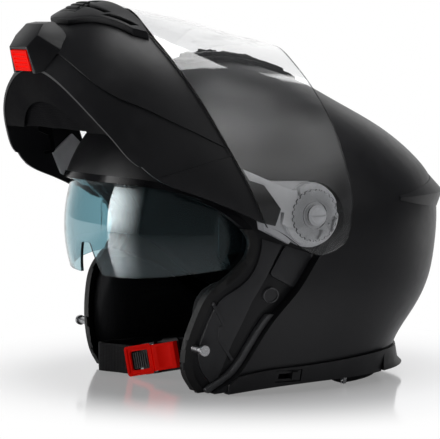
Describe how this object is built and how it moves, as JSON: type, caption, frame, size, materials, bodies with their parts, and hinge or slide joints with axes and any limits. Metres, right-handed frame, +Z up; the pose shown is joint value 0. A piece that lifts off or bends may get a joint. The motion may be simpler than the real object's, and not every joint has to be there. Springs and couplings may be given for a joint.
{
  "type": "modular motorcycle helmet",
  "caption": "Flip-up full-face motorcycle helmet with raised chin bar, clear visor, drop-down sun visor, padded lining and quick-release chin strap.",
  "frame": {"origin": "middle of the head opening at the plane of the rim", "axes": "+X to the wearer's left, +Y to the back, +Z up"},
  "size_m": [0.2668, 0.3497, 0.2871],
  "materials": {
    "shell_black": "satin black polycarbonate alloy",
    "chin_black": "satin black polycarbonate alloy",
    "panel_grey": "satin charcoal plastic",
    "strip_grey": "satin dark grey plastic",
    "gloss_black": "gloss black plastic",
    "trim_black": "matt black plastic",
    "gasket_rubber": "matt black rubber",
    "clear_visor": "clear polished polycarbonate",
    "tinted_visor": "smoke blue mirrored polycarbonate",
    "hinge_plastic": "grey moulded acetal",
    "red_plastic": "bright red plastic",
    "steel": "bare brushed steel",
    "foam": "black expanded foam",
    "lining_fabric": "black brushed knit over foam",
    "webbing": "black woven polyester webbing",
    "curtain_fabric": "black woven cloth"
  },
  "bodies": {
    "helmet": {"outer_shell": "shell_black", "brow_trim": "gloss_black", "jaw_gasket": "gasket_rubber", "base_trim_left": "trim_black", "base_trim_right": "trim_black", "rear_trim": "trim_black", "lever_bezel": "trim_black", "jaw_panel_left": "panel_grey", "jaw_panel_right": "panel_grey", "side_cover_left": "panel_grey", "side_cover_right": "panel_grey", "step_strip_left": "strip_grey", "step_strip_right": "strip_grey", "pivot_base_left": "hinge_plastic", "pivot_base_right": "hinge_plastic", "cheek_pad_left": "lining_fabric", "cheek_pad_right": "lining_fabric", "jaw_plugs": "panel_grey", "latch_studs": "steel", "pivot_screws": "trim_black", "sun_visor_pins": "trim_black", "eps_liner": "foam", "crown_pad": "lining_fabric", "neck_roll": "lining_fabric", "top_vent_base": "shell_black", "rear_spoiler": "shell_black", "strap_left": "webbing", "strap_right": "webbing", "strap_anchors": "steel", "buckle_frame": "red_plastic", "buckle_plate": "trim_black", "buckle_pin": "steel"},
    "chin_bar": {"chin_bar_shell": "chin_black", "chin_bar_liner": "foam", "chin_floor": "trim_black", "chin_curtain": "curtain_fabric", "chin_vent_frame": "trim_black", "chin_beak": "chin_black", "hinge_plate_left": "hinge_plastic", "hinge_plate_right": "hinge_plastic", "latch_pins": "steel"},
    "visor": {"visor_lens": "clear_visor", "visor_gear_left": "clear_visor", "visor_gear_right": "clear_visor"},
    "sun_visor": {"sun_visor": "tinted_visor"},
    "sun_visor_lever": {"sun_visor_lever": "trim_black"},
    "release_button": {"release_button": "red_plastic"},
    "chin_vent_slider": {"chin_vent_slider": "trim_black"},
    "top_vent_slider": {"top_vent_slider": "trim_black"},
    "buckle_lever": {"buckle_lever": "red_plastic"},
    "latch_claw_left": {"latch_claw_left": "steel"},
    "latch_claw_right": {"latch_claw_right": "steel"}
  },
  "joints": [
    {"name": "chin_bar_hinge", "type": "hinge", "parent": "helmet", "child": "chin_bar", "pos_m": [0, -0.02146, 0.13198], "axis": [-1, 0, 0], "range_deg": [-72.5, 0]},
    {"name": "visor_hinge", "type": "hinge", "parent": "chin_bar", "child": "visor", "pos_m": [0, -0.02146, 0.13198], "axis": [-1, 0, 0], "range_deg": [0, 40]},
    {"name": "sun_visor_hinge", "type": "hinge", "parent": "helmet", "child": "sun_visor", "pos_m": [0, -0.02993, 0.11633], "axis": [-1, 0, 0], "range_deg": [0, 50]},
    {"name": "sun_visor_lever_slide", "type": "slide", "parent": "helmet", "child": "sun_visor_lever", "axis": [0, -1, 0], "range_m": [0, 0.0096]},
    {"name": "release_button_slide", "type": "slide", "parent": "chin_bar", "child": "release_button", "axis": [0, 0.9613, 0.2756], "range_m": [0, 0.003], "stiffness_N_per_m": 500},
    {"name": "chin_vent_slide", "type": "slide", "parent": "chin_bar", "child": "chin_vent_slider", "axis": [0, 0.9613, 0.2756], "range_m": [0, 0.004]},
    {"name": "top_vent_slide", "type": "slide", "parent": "helmet", "child": "top_vent_slider", "axis": [0, 1, 0], "range_m": [0, 0.004]},
    {"name": "buckle_lever_hinge", "type": "hinge", "parent": "helmet", "child": "buckle_lever", "pos_m": [0.00274, -0.08405, 0.01694], "axis": [0.1889, 0.0869, -0.9781], "range_deg": [0, 55], "stiffness_Nm_per_rad": 0.05},
    {"name": "latch_claw_left_hinge", "type": "hinge", "parent": "chin_bar", "child": "latch_claw_left", "pos_m": [0.09, -0.13099, 0.19476], "axis": [-1, 0, 0], "range_deg": [0, 25]},
    {"name": "latch_claw_right_hinge", "type": "hinge", "parent": "chin_bar", "child": "latch_claw_right", "pos_m": [-0.09, -0.13099, 0.19476], "axis": [-1, 0, 0], "range_deg": [0, 25]}
  ],
  "couplings": [
    {"joint": "sun_visor_lever_slide", "follows": "sun_visor_hinge", "m_per_rad": 0.0109},
    {"joint": "latch_claw_right_hinge", "follows": "latch_claw_left_hinge", "ratio": 1}
  ]
}
